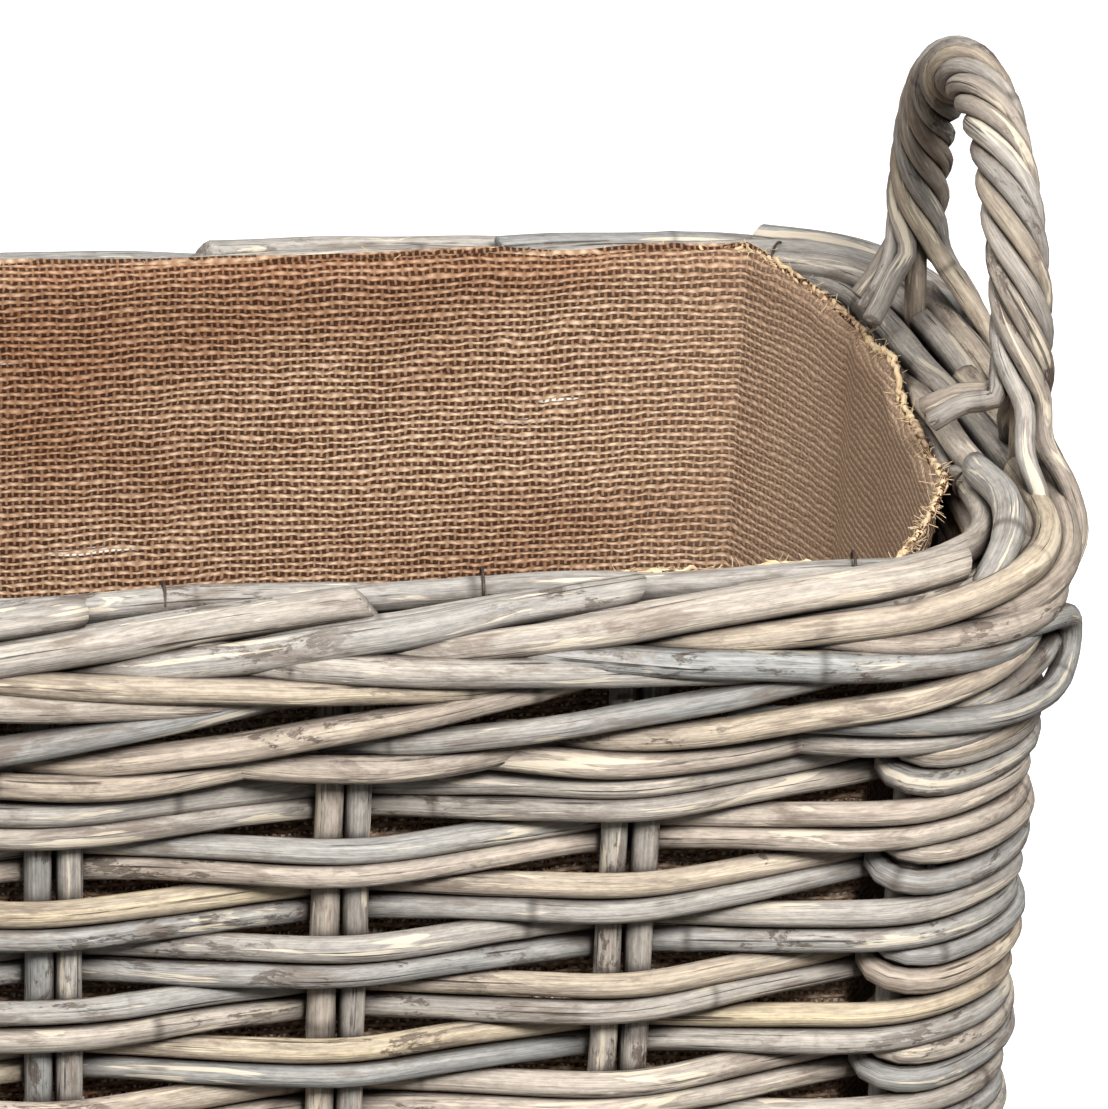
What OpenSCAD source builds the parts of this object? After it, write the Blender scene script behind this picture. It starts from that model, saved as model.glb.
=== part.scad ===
// Rectangular log basket: paired upright canes, paired weaving canes, a rolled border with
// sweeping canes, two twisted handles that stand on the ends, and a hessian liner.
// Millimetres. +X runs along the length, +Y to the back, +Z up. The origin is the centre of
// the footprint, on the floor. A half turn about Z leaves the basket unchanged.

/* [Body] */
// Length over the border
rim_length = 620; // [560:10:760]
// Width over the border
rim_width = 340; // [330:10:440]
// Height from the floor to the top of the border
rim_height = 460; // [460:1:462]
// How far each end leans in between the border and the floor
end_taper = 26; // [12:2:30]
// How far each long side leans in between the border and the floor
side_taper = 18; // [10:2:24]
// Plan radius of the corners, on the line of the upright canes
corner_radius = 50; // [46:2:60]

/* [Canes] */
// Thickness of a weaving cane
cane_d = 7.8; // [7:0.1:7.9]
// Diameter of one cane of an upright pair
stake_d = 8.2; // [7:0.1:8.6]
// Diameter of a corner post
post_d = 12; // [10:0.5:12.5]
// Diameter of a border cane
rod_d = 9.4; // [8:0.2:9.6]
// Clearance between canes that cross
play = 0.5; // [0.3:0.1:0.6]

/* [Handles] */
// Distance between the two legs of a handle
leg_spacing = 130; // [120:2:132]
// Height of a handle's centre line over the border
handle_rise = 92; // [80:2:110]
// Diameter of the straight core cane
core_d = 7; // [6:0.5:7]
// Diameter of one twisted strand
strand_d = 6; // [5:0.2:6]
// Length of one full turn of the twist
twist_lead = 67; // [55:1:90]

/* [Liner] */
// Thickness of the hessian as it hangs
cloth_t = 1.6; // [1:0.2:2]
// Depth of the folded hem
hem_depth = 16; // [10:2:24]

/* [Hidden] */
row_count = 22;
strand_count = 6;
front_gaps = 6;
end_gaps = 4;
half_count = front_gaps + end_gaps;
sides = ["front", "right", "back", "left"];
side_start = [0, front_gaps, half_count, half_count + front_gaps];
side_gaps = [front_gaps, end_gaps, front_gaps, end_gaps];
corners = ["front_left", "front_right", "back_right", "back_left"];

function two_digits(n) = n < 10 ? str("0", n) : str(n);

// Heights, from the floor up
row_step = cane_d + 0.2;
foot_h = 16;
stake_foot = foot_h + 0.5;
base_z = 27;
base_stick_d = 12;
wale_foot = 20;
bottom_wale_rings = 4;
weave_foot = wale_foot + bottom_wale_rings * row_step;
weave_top = weave_foot + 2 * row_count * row_step;
top_wale_rings = 3;
stake_top = 438;
rod_low_z = 431.5;
rod_top_z = rim_height - rod_d / 2;
hoop_d = 8;
hoop_z = [rim_height - 12, rim_height - 22];

// Distances outward from the line of the upright canes
stake_off = (stake_d + cane_d) / 2 + play;
post_off = (post_d + cane_d) / 2 + play;
rod_low_off = 18;
rod_top_off = 6.6;
hoop_off = -10.6;
base_hoop_off = -12;
liner_off = -17.4;
handle_z0 = rim_height + 6;

// Half sizes of the line of the upright canes at the border
top_a = rim_length / 2 - rod_low_off - rod_d / 2;
top_b = rim_width / 2 - rod_low_off - rod_d / 2;
handle_x = top_a - end_taper * (rim_height - 420) / rim_height;
arch_z = rim_height + handle_rise - leg_spacing / 2;

function half_a(z) = top_a - end_taper * (1 - z / rim_height);
function half_b(z) = top_b - side_taper * (1 - z / rim_height);
function quarter() = corner_radius * PI / 2;
function half_way(z) = 2 * (half_a(z) + half_b(z) - 2 * corner_radius) + 2 * quarter();

// Plan point at distance s along the wall line from the middle of the front, off outward
function wall_xy(s, off, z) =
    let (r = corner_radius, a = half_a(z), b = half_b(z), half = half_way(z))
    s < 0 ? -wall_xy(s + half, off, z) :
    s >= half ? -wall_xy(s - half, off, z) :
    s < a - r ? [s, -b - off] :
    s < a - r + quarter() ?
        let (t = (s - a + r) / r * 180 / PI - 90)
        [a - r + (r + off) * cos(t), -b + r + (r + off) * sin(t)] :
    s < a - r + quarter() + 2 * (b - r) ? [a + off, -b + r + s - (a - r) - quarter()] :
    s < half - (a - r) ?
        let (t = (s - (a - r) - quarter() - 2 * (b - r)) / r * 180 / PI)
        [a - r + (r + off) * cos(t), b - r + (r + off) * sin(t)] :
    [half - s, b + off];

// The corner posts stand a little way round the curve from the long sides
post_angle = 20;
function post_s(z) = half_a(z) - corner_radius + corner_radius * post_angle * PI / 180;

// Distance along the wall of the upright at place u. The whole numbers are the uprights:
// 0 is the front left post, 6 the front right post, 10 the back right and 16 the back left.
function wall_s(u, z) =
    let (p = post_s(z), half = half_way(z))
    u < 0 ? wall_s(u + half_count, z) - half :
    u >= half_count ? wall_s(u - half_count, z) + half :
    u < front_gaps ? (u - front_gaps / 2) * p / (front_gaps / 2) :
    p + (u - front_gaps) * (half - 2 * p) / end_gaps;

function wall_at(u, off, z) = wall_xy(wall_s(u, z), off, z);
function is_post(i) = (i % half_count) == 0 || (i % half_count) == front_gaps;
function reach(i) = is_post(i) ? post_off : stake_off;

// Places along a ring: two at each upright, and three more in each gap at a corner
beside = 0.17;
ring_places = [for (i = [0:2 * half_count - 1])
    let (round_corner = i % half_count == front_gaps || i % half_count == half_count - 1)
    each concat([i - beside, i + beside], round_corner ? [i + 0.33, i + 0.5, i + 0.67] : [])];

// How far out a woven cane is at place u: +1 outside the upright, -1 inside it
function woven(u, phase) =
    let (i = floor(u + 0.5), f = u - i, turn = (i + phase) % 2 == 0 ? 1 : -1)
    turn * reach(i) * (abs(f) <= beside ? 1 : (0.5 - abs(f)) / (0.5 - beside));
function outside(u) = reach(floor(u + 0.5));

// A closed cane ring of rectangular section, with its bottom at z
module ring(offsets, z, width, height) {
    n = len(ring_places);
    outer = [for (i = [0:n - 1]) wall_at(ring_places[i], offsets[i] + width / 2, z)];
    inner = [for (i = [0:n - 1]) wall_at(ring_places[i], offsets[i] - width / 2, z)];
    translate([0, 0, z])
        linear_extrude(height)
            polygon(concat(outer, inner), [[for (i = [0:n - 1]) i], [for (i = [0:n - 1]) n + i]]);
}

module even_ring(off, z, width, height) {
    ring([for (u = ring_places) off], z, width, height);
}

// A round rod between two points
module rod(p, q, d) {
    v = q - p;
    translate(p)
        rotate([0, acos(v.z / norm(v)), atan2(v.y, v.x)])
            cylinder(h = norm(v), d = d, $fn = 24);
}

function unit(v) = v / norm(v);
function tangent(path, i, closed) =
    let (n = len(path))
    closed ? unit(path[(i + 1) % n] - path[(i + n - 1) % n])
           : unit(path[min(i + 1, n - 1)] - path[max(i - 1, 0)]);

// A tube along a path. Each ring of points is turned so that its first point faces refs[i].
module tube(path, refs, d, round_sides, closed = false) {
    n = len(path);
    m = round_sides;
    points = [for (i = [0:n - 1])
        let (t = tangent(path, i, closed),
             across = unit(refs[i] - (refs[i] * t) * t),
             up = cross(t, across))
        for (k = [0:m - 1]) path[i] + d / 2 * (cos(360 * k / m) * across + sin(360 * k / m) * up)];
    skin = [for (i = [0:n - (closed ? 1 : 2)], k = [0:m - 1])
        let (a = i * m + k, b = i * m + (k + 1) % m,
             c = ((i + 1) % n) * m + (k + 1) % m, e = ((i + 1) % n) * m + k)
        each [[a, c, b], [a, e, c]]];
    caps = closed ? [] : [[for (k = [0:m - 1]) k], [for (k = [m - 1:-1:0]) (n - 1) * m + k]];
    polyhedron(points, concat(skin, caps));
}

// ---- base ----

module foot_border() {
    color("tan") {
        even_ring(5, 0, 9, foot_h);
        even_ring(-6, 0, 9, foot_h);
    }
}

module base_hoop() {
    color("tan")
        even_ring(base_hoop_off, base_z - 6, 9, 12);
}

base_stick_count = 5;
base_inner_a = half_a(base_z) + base_hoop_off - 5.5;
base_inner_b = half_b(base_z) + base_hoop_off - 5.5;
base_stick_step = 2 * (base_inner_b - 26) / (base_stick_count - 1);

module base_sticks() {
    color("rosybrown")
        for (i = [0:base_stick_count - 1]) {
            y = (i - (base_stick_count - 1) / 2) * base_stick_step;
            rod([-base_inner_a, y, base_z], [base_inner_a, y, base_z], base_stick_d);
        }
}

// The weavers cross the sticks in bands two canes wide, over one stick and under the next
module base_weavers() {
    band_t = 4;
    band_step = 2 * row_step;
    band_count = floor(2 * (base_inner_a - corner_radius / 2) / band_step);
    lift = (base_stick_d + band_t) / 2 + 0.3;
    color("burlywood")
        for (i = [0:band_count - 1]) {
            up = i % 2 == 0 ? 1 : -1;
            line = [for (k = [0:base_stick_count - 1], e = [-1, 1])
                [(k - (base_stick_count - 1) / 2) * base_stick_step + e * 7, up * lift * (k % 2 == 0 ? 1 : -1)]];
            ends = concat([[-base_inner_b + 1, line[0].y]], line, [[base_inner_b - 1, line[0].y]]);
            translate([(i - (band_count - 1) / 2) * band_step - band_step / 2, 0, base_z])
                rotate([90, 0, 90])
                    linear_extrude(band_step - 0.4)
                        polygon(concat([for (p = ends) p + [0, band_t / 2]],
                            [for (k = [len(ends) - 1:-1:0]) ends[k] - [0, band_t / 2]]));
        }
}

module bottom_wale() {
    color("tan")
        for (k = [0:bottom_wale_rings - 1])
            ring([for (u = ring_places) outside(u)], wale_foot + k * row_step, cane_d, cane_d);
}

// ---- wall ----

// One row is two canes, one on the other, and the next row takes the other side of each upright
module weave_row(n) {
    color(n % 2 == 0 ? "wheat" : "burlywood")
        for (k = [0, 1])
            ring([for (u = ring_places) woven(u, n + 1)], weave_foot + (2 * (n - 1) + k) * row_step,
                cane_d, cane_d);
}

module upright(i, shift, d) {
    low = wall_xy(wall_s(i, stake_foot) + shift, 0, stake_foot);
    high = wall_xy(wall_s(i, stake_top) + shift, 0, stake_top);
    rod([low.x, low.y, stake_foot], [high.x, high.y, stake_top], d);
}

module corner_post(i) {
    color("lightslategray")
        upright(i, 0, post_d);
}

module stakes(side) {
    color("lightslategray")
        for (i = [1:side_gaps[side] - 1], e = [-1, 1])
            upright(side_start[side] + i, e * (stake_d / 2 + 0.3), stake_d);
}

// ---- border ----

module top_wale() {
    color("wheat")
        for (k = [0:top_wale_rings - 1])
            ring([for (u = ring_places) outside(u)], weave_top + k * row_step, cane_d, cane_d);
}

module border_core_hoops() {
    color("tan")
        for (z = hoop_z)
            tube([for (u = ring_places) let (p = wall_at(u, hoop_off, z)) [p.x, p.y, z]],
                [for (u = ring_places) [0, 0, 1]], hoop_d, 8, true);
}

// Loops of wire round the upper hoop
tie_places = [0.6, 2.4, 3.7, 5.4, 6.9, 9.1];
module rim_wire_ties() {
    wire_d = 1.2;
    z = hoop_z[0];
    color("dimgray")
        for (u = tie_places, turn = [0, half_count]) {
            p = wall_at(u + turn, hoop_off, z);
            q = wall_at(u + turn + 0.05, hoop_off, z);
            translate([p.x, p.y, z])
                rotate([0, 90, atan2(q.y - p.y, q.x - p.x)])
                    rotate_extrude($fn = 24)
                        translate([hoop_d / 2 + wire_d / 2 + 0.2, 0])
                            circle(d = wire_d, $fn = 16);
        }
}

// Each border cane rises from outside its own upright to the top of the border
rod_span = 2.6;
rod_rings = 16;
module border_rods(side) {
    color("wheat")
        for (i = [0:side_gaps[side] - 1]) {
            path = [for (k = [0:rod_rings - 1])
                let (t = k / (rod_rings - 1),
                     z = rod_low_z + (rod_top_z - rod_low_z) * t,
                     p = wall_at(side_start[side] + i + rod_span * t,
                        rod_low_off + (rod_top_off - rod_low_off) * t, z))
                [p.x, p.y, z]];
            tube(path, [for (p = path) [0, 0, 1]], rod_d, 8);
        }
}

// ---- handles ----

// The centre line of a handle in its own plane, by distance w from its front foot at height z0
function arch_length(z0) = 2 * (arch_z - z0) + PI * leg_spacing / 2;
function arch_yz(w, z0) =
    let (r = leg_spacing / 2, leg = arch_z - z0, end = arch_length(z0))
    w < leg ? [-r, z0 + w] :
    w > end - leg ? [r, z0 + end - w] :
    let (t = 180 - (w - leg) / r * 180 / PI) [r * cos(t), arch_z + r * sin(t)];
// Unit vector out of the arch, away from its opening
function arch_out(w, z0) =
    let (p = arch_yz(w, z0), q = arch_yz(w + 0.5, z0), v = unit(q - p)) [-v.y, v.x];

core_foot = 416;
core_rings = 30;
module handle_core(end) {
    path = [for (k = [0:core_rings - 1])
        let (p = arch_yz(arch_length(core_foot) * k / (core_rings - 1), core_foot)) [handle_x, p.x, p.y]];
    color("tan")
        rotate([0, 0, end == "left" ? 180 : 0])
            tube(path, [for (p = path) [1, 0, 0]], core_d, 8);
}

strand_rings = 40;
strand_reach = (core_d + strand_d) / 2 + 0.4;
module handle_strand(end, k) {
    length = arch_length(handle_z0);
    spokes = [for (i = [0:strand_rings - 1])
        let (w = length * i / (strand_rings - 1),
             turn = 360 * (k / strand_count - w / twist_lead),
             out = arch_out(min(w, length - 1), handle_z0))
        [sin(turn), cos(turn) * out.x, cos(turn) * out.y]];
    path = [for (i = [0:strand_rings - 1])
        let (p = arch_yz(length * i / (strand_rings - 1), handle_z0))
        [handle_x, p.x, p.y] + strand_reach * spokes[i]];
    color(k % 2 == 0 ? "wheat" : "burlywood")
        rotate([0, 0, end == "left" ? 180 : 0])
            tube(path, spokes, strand_d, 6);
}

// ---- liner ----

liner_foot = base_z + 14;
liner_top = rim_height - 6;

// Outline of the inside of the basket at height z
module inside_outline(off, z) {
    polygon([for (u = ring_places) wall_at(u, off, z)]);
}

module liner_shell(off, thickness, z0, z1) {
    m = len(ring_places);
    // The loops are outer low, outer high, inner low and inner high
    loops = [for (o = [off, off - thickness], z = [z0, z1], u = ring_places)
        let (p = wall_at(u, o, z)) [p.x, p.y, z]];
    skin = [for (i = [0:m - 1]) let (j = (i + 1) % m)
        each [[i, m + j, j], [i, m + i, m + j],
              [2 * m + i, 2 * m + j, 3 * m + j], [2 * m + i, 3 * m + j, 3 * m + i],
              [i, j, 2 * m + j], [i, 2 * m + j, 2 * m + i],
              [m + i, 3 * m + j, m + j], [m + i, 3 * m + i, 3 * m + j]]];
    polyhedron(loops, skin);
}

module liner_wall() {
    color("peru")
        liner_shell(liner_off, cloth_t, liner_foot, liner_top);
}

module liner_base() {
    color("peru")
        translate([0, 0, liner_foot])
            linear_extrude(cloth_t)
                inside_outline(liner_off - cloth_t - 0.4, liner_foot);
}

module liner_hem() {
    color("burlywood")
        liner_shell(liner_off - cloth_t - 0.3, cloth_t, liner_top - hem_depth, liner_top);
}

foot_border();
base_hoop();
base_sticks();
base_weavers();
bottom_wale();
for (n = [1:row_count])
    weave_row(n);
for (i = [0:3])
    corner_post(side_start[i]);
for (i = [0:3])
    stakes(i);
top_wale();
border_core_hoops();
rim_wire_ties();
for (i = [0:3])
    border_rods(i);
for (end = ["left", "right"])
    handle_core(end);
for (end = ["left", "right"], k = [1:strand_count])
    handle_strand(end, k);
liner_wall();
liner_base();
liner_hem();
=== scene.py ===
"""Looks for the wicker log basket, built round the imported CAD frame.

Metres, in the frame's axes: +X along the length, +Y to the back, +Z up. A cane is a tube swept
along a path on the wall. A point of the wall is (place, off, z): the place round the wall, where
the uprights are the whole numbers from 0 at the front left post to 19, the distance outward from
the line of the uprights, and the height.
"""

import zlib
from math import cos, pi, radians, sin

import bpy
import numpy as np
from mathutils import Matrix, Vector


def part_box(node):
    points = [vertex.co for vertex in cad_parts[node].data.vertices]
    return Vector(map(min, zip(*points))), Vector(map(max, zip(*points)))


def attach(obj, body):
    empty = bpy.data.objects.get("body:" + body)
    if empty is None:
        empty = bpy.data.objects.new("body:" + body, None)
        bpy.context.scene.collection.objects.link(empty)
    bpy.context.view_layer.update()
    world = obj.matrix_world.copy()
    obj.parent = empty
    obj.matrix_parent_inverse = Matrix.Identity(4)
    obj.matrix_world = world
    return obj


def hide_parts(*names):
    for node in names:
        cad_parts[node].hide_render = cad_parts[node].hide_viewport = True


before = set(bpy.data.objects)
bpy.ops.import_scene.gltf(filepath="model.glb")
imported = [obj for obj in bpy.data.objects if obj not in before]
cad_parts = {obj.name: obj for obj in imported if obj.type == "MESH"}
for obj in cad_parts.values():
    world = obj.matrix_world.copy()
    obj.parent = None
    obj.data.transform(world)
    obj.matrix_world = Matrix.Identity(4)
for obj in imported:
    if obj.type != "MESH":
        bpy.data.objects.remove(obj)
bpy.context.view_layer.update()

MM = 0.001

# ---- sizes, from the frame ----

CORNER_R = 50 * MM
POST_ANGLE = radians(20)
FRONT_GAPS = 6
END_GAPS = 4
HALF = FRONT_GAPS + END_GAPS
PLACES = 2 * HALF
ROWS = sum(name.startswith("weave_row_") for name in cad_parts)
PITCH = 79 * MM  # about the distance between two uprights along the wall

stake_low, stake_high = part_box("right_stakes")
side_low, side_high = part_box("front_stakes")
row_low, row_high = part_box("weave_row_01")
STAKE_R = 4.1 * MM
POST_R = 6 * MM
CANE_R = 3.95 * MM
STAKE_FOOT = stake_low.z
STAKE_TOP = stake_high.z
LOW_A = stake_low.x + STAKE_R
TOP_A = stake_high.x - STAKE_R
LOW_B = -(side_high.y - STAKE_R)
TOP_B = -(side_low.y + STAKE_R)
ROW_STEP = (row_high.z - row_low.z) / 2
WEAVE_FOOT = row_low.z
WEAVE_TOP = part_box("top_wale")[0].z
RIM_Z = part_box("front_border_rods")[1].z
GAP = 0.3 * MM
STAKE_REACH = STAKE_R + CANE_R + GAP
POST_REACH = POST_R + CANE_R + GAP


def half_a(z):
    """Half the length between the lines of the uprights. The walls lean outward."""
    return LOW_A + (TOP_A - LOW_A) * (z - STAKE_FOOT) / (STAKE_TOP - STAKE_FOOT)


def half_b(z):
    """Half the width between the lines of the uprights."""
    return LOW_B + (TOP_B - LOW_B) * (z - STAKE_FOOT) / (STAKE_TOP - STAKE_FOOT)


def wall_s(place, z):
    """Distance along the wall line, from the middle of the front, of a place."""
    half_way = 2 * (half_a(z) + half_b(z) - 2 * CORNER_R) + pi * CORNER_R
    post = half_a(z) - CORNER_R + CORNER_R * POST_ANGLE
    turns = np.floor(place / HALF)
    u = place - turns * HALF
    front = (u - FRONT_GAPS / 2) * post / (FRONT_GAPS / 2)
    end = post + (u - FRONT_GAPS) * (half_way - 2 * post) / END_GAPS
    return np.where(u < FRONT_GAPS, front, end) + turns * half_way


def wall_at(place, off, z):
    """Points of the wall, as rows of x, y and z."""
    place, off, z = np.broadcast_arrays(*(np.asarray(v, float) for v in (place, off, z)))
    a = half_a(z) - CORNER_R
    b = half_b(z) - CORNER_R
    quarter = CORNER_R * pi / 2
    half_way = 2 * (a + b + quarter)
    s = wall_s(place, z)
    turn = np.where(np.floor(s / half_way) % 2 == 0, 1.0, -1.0)
    s = s % half_way
    reach = CORNER_R + off
    near = (s - a) / CORNER_R - pi / 2
    far = (s - a - quarter - 2 * b) / CORNER_R
    parts = [s < a, s < a + quarter, s < a + quarter + 2 * b, s < a + 2 * quarter + 2 * b]
    x = np.select(parts, [s, a + reach * np.cos(near), a + reach, a + reach * np.cos(far)],
                  half_way - s)
    y = np.select(parts, [-b - reach, -b + reach * np.sin(near), s - a - quarter - b,
                          b + reach * np.sin(far)], b + reach)
    return np.stack([turn * x, turn * y, z], axis=-1)


def along_side(place, middle, half_width):
    """1 over a stretch of the wall round a middle place, falling softly to 0 beside it."""
    away = np.abs((place - middle + HALF) % PLACES - HALF)
    return 1 / (1 + np.exp((away - half_width) / 0.25))


# ---- camera ----

SENSOR = 36.0
LENS = 437.6
CAMERA_DISTANCE = 4.0
CAMERA_AZIMUTH = radians(8.64)
CAMERA_HEIGHT = radians(21.1)
CAMERA_ROLL = radians(0.58)


def make_camera():
    """Looks down on the right half of the basket, from the front and a little left."""
    back = Vector((-sin(CAMERA_AZIMUTH) * cos(CAMERA_HEIGHT),
                   -cos(CAMERA_AZIMUTH) * cos(CAMERA_HEIGHT), sin(CAMERA_HEIGHT)))
    aim = Vector((0.58 * TOP_A, 0, 0.892 * RIM_Z))
    spot = aim + CAMERA_DISTANCE * back
    camera = bpy.data.objects.new("camera", bpy.data.cameras.new("camera"))
    camera.data.sensor_fit = "HORIZONTAL"
    camera.data.sensor_width = SENSOR
    camera.data.lens = LENS
    camera.data.clip_end = 50
    camera.location = spot
    turn = (aim - spot).to_track_quat("-Z", "Y").to_matrix().to_4x4()
    camera.rotation_euler = (turn @ Matrix.Rotation(CAMERA_ROLL, 4, "Z")).to_euler()
    bpy.context.scene.collection.objects.link(camera)
    bpy.context.scene.camera = camera


make_camera()


# ---- paths ----

def unit(vectors):
    """The same directions with length 1."""
    return vectors / np.linalg.norm(vectors, axis=-1, keepdims=True)


def run_along(points):
    """How far along a line each of its points is."""
    return np.concatenate([[0], np.cumsum(np.linalg.norm(np.diff(points, axis=0), axis=1))])


def resample(points, step):
    """The same line with its points about step apart."""
    run = run_along(points)
    count = max(3, int(round(run[-1] / step)) + 1)
    at = np.linspace(0, run[-1], count)
    return np.stack([np.interp(at, run, points[:, k]) for k in range(points.shape[1])], axis=-1)


FINE_STEP = 1.5 * MM


def blurred(points, softness, step):
    """A smooth path along a rough one. Its ends stay where they are."""
    fine = resample(points, FINE_STEP)
    reach = min(int(3 * softness / FINE_STEP), len(fine) - 1)
    offsets = np.arange(-reach, reach + 1) * FINE_STEP
    weights = np.exp(-0.5 * (offsets / softness) ** 2)
    weights /= weights.sum()
    before = 2 * fine[0] - fine[reach:0:-1]
    after = 2 * fine[-1] - fine[-2:-reach - 2:-1]
    padded = np.concatenate([before, fine, after])
    smooth = np.stack([np.convolve(padded[:, k], weights, "valid") for k in range(3)], axis=-1)
    return resample(smooth, step)


def wall_path(rows, softness=9 * MM, step=5 * MM):
    """A smooth path on the wall through rows of (place, off, z)."""
    rows = np.asarray(rows, float)
    counts = [max(2, int(abs(q[0] - p[0]) * 40) + 2) for p, q in zip(rows, rows[1:])]
    dense = np.concatenate([p + (q - p) * np.linspace(0, 1, n, endpoint=False)[:, None]
                            for p, q, n in zip(rows, rows[1:], counts)] + [rows[-1:]])
    return blurred(wall_at(dense[:, 0], dense[:, 1], dense[:, 2]), softness, step)


# ---- tubes ----

SIDES = 12
KNOT_SPACING = (0.11, 0.24)
KNOT_REACH = 2.6 * MM
CUT_DEPTH = 14 * MM
CAP_SHARE = 0.8


class Canes:
    """Gathers tubes into one piece. Each tube has its own thickness, tint, joints and grain."""

    def __init__(self, name):
        self.name = name
        self.random = np.random.default_rng(zlib.crc32(name.encode()))
        self.points = []
        self.faces = []
        self.grain = []
        self.tint = []
        self.knot = []
        self.count = 0

    def drift(self, run, period):
        """Slow random change along a tube, from about -1 to 1."""
        total = np.zeros_like(run)
        for share, size in ((1.0, 0.6), (0.43, 0.4)):
            total += size * np.sin(2 * pi * run / (period * share) + self.random.uniform(0, 2 * pi))
        return total

    def frames(self, path):
        """Two unit vectors across the tube at each point, carried along without twist."""
        along = unit(np.gradient(path, axis=0))
        start = np.eye(3)[np.argmin(np.abs(along[0]))]
        across = np.zeros_like(path)
        for i, t in enumerate(along):
            start = unit(start - (start @ t) * t)
            across[i] = start
        return along, across, np.cross(along, across)

    def tube(self, path, radius, sides=SIDES, hue=None, shade=0.0, cut=(0.0, 0.0), jointed=True,
             wobble=0.35 * MM, thin=(1.0, 1.0)):
        """cut is how far each end is cut on the slant, in radii, and thin its share of the radius."""
        random = self.random
        along, across, up = self.frames(path)
        run = run_along(path)
        path = (path + across * (wobble * self.drift(run, 0.11))[:, None]
                + up * (wobble * self.drift(run, 0.13))[:, None])
        knots = np.cumsum(random.uniform(*KNOT_SPACING, 40)) - random.uniform(0, 0.2)
        away = np.abs(run[:, None] - knots[None, :]).min(axis=1) if jointed else run + 1
        swell = np.exp(-(away / KNOT_REACH) ** 2)
        width = radius * (1 + 0.035 * self.drift(run, 0.17)) * (1 + 0.06 * swell)
        width = width * np.interp(run / run[-1], [0, 1], thin)
        angle = 2 * pi * np.arange(sides) / sides
        rib = 1 + 0.03 * np.cos(2 * angle - random.uniform(0, 6))
        rib = rib + 0.012 * np.cos(5 * angle - random.uniform(0, 6))
        spoke = (np.cos(angle)[None, :, None] * across[:, None, :]
                 + np.sin(angle)[None, :, None] * up[:, None, :])
        ring = path[:, None, :] + width[:, None, None] * rib[None, :, None] * spoke
        for slant, depth, sign in ((cut[0], run, 1), (cut[1], run[-1] - run, -1)):
            share = np.clip(1 - depth / CUT_DEPTH, 0, 1) ** 2
            lean = slant * radius * np.cos(angle - random.uniform(0, 2 * pi))
            ring = ring + sign * (share[:, None] * lean[None, :])[:, :, None] * along[:, None, :]
        self.add_shell(ring, along, radius)
        self.add_looks(run, angle, radius, swell, hue, shade)

    def add_shell(self, ring, along, radius):
        """The rings joined into a tube, each end closed by a slightly domed cap."""
        n, sides = ring.shape[:2]
        points = [ring.reshape(-1, 3)]
        for edge, out in ((ring[0], -along[0]), (ring[-1], along[-1])):
            dome = edge.mean(axis=0) + 0.12 * radius * out
            points += [dome + CAP_SHARE * (edge - edge.mean(axis=0)), dome[None]]
        k = np.arange(sides)
        after = (k + 1) % sides
        rows = np.arange(n - 1)[:, None] * sides
        quads = np.stack([rows + k, rows + after, rows + sides + after, rows + sides + k], axis=-1)
        low = n * sides
        high = low + sides + 1
        last = low - sides
        pairs = list(zip(k.tolist(), after.tolist()))
        faces = quads.reshape(-1, 4).tolist()
        faces += [[low + a, low + b, b, a] for a, b in pairs]
        faces += [[low + sides, low + b, low + a] for a, b in pairs]
        faces += [[high + b, high + a, last + a, last + b] for a, b in pairs]
        faces += [[high + sides, high + a, high + b] for a, b in pairs]
        self.faces += [[self.count + i for i in face] for face in faces]
        self.count += high + sides + 1
        self.points += points

    def add_looks(self, run, angle, radius, swell, hue, shade):
        """The grain in metres along and across the tube, its tint (hue, light, wear), and its knots."""
        random = self.random
        n, sides = len(run), len(angle)
        spots = radius * np.stack([np.cos(angle), np.sin(angle)], axis=-1)
        cap = np.concatenate([CAP_SHARE * spots, [[0, 0]]])
        at = np.concatenate([np.repeat(run, sides), np.repeat(run[[0, -1]], sides + 1)])
        grain = np.column_stack([at, np.concatenate([np.tile(spots, (n, 1)), cap, cap])])
        self.grain.append(grain + random.uniform(0, 9, 3))
        hue = random.uniform(0, 1) if hue is None else np.clip(hue + random.normal(0, 0.12), 0, 1)
        light = shade + random.normal(0, 0.5)
        wear = random.uniform(0, 1)
        slow = self.drift(run, 0.3)
        body = np.stack([hue + 0.08 * slow, light + 0.15 * self.drift(run, 0.21), np.full(n, wear)], -1)
        tips = np.tile([hue, light - 0.9, wear], (2 * (sides + 1), 1))
        self.tint.append(np.concatenate([np.repeat(body, sides, axis=0), tips]))
        self.knot.append(np.concatenate([np.repeat(swell, sides), np.zeros(2 * (sides + 1))]))

    def piece(self, material, slot, *nodes):
        """Makes the mesh, which stands for the given CAD nodes."""
        mesh = bpy.data.meshes.new(self.name)
        mesh.from_pydata(np.concatenate(self.points).tolist(), [], self.faces)
        for key, values in (("grain", self.grain), ("tint", self.tint), ("knot", self.knot)):
            add_attribute(mesh, key, np.concatenate(values))
        return finish_piece(self.name, mesh, material, nodes)


def add_attribute(mesh, name, values):
    """One number, or one vector, for each point."""
    kind, field = ("FLOAT", "value") if values.ndim == 1 else ("FLOAT_VECTOR", "vector")
    layer = mesh.attributes.new(name, kind, "POINT")
    layer.data.foreach_set(field, values.astype(np.float32).ravel())


def finish_piece(name, mesh, material, nodes):
    """Puts a mesh in the scene as a piece that stands for the given CAD nodes."""
    mesh.shade_smooth()
    mesh.materials.append(material)
    piece = bpy.data.objects.new(name, mesh)
    bpy.context.scene.collection.objects.link(piece)
    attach(piece, "root")
    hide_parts(*nodes)
    return piece


# ---- materials ----

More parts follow.
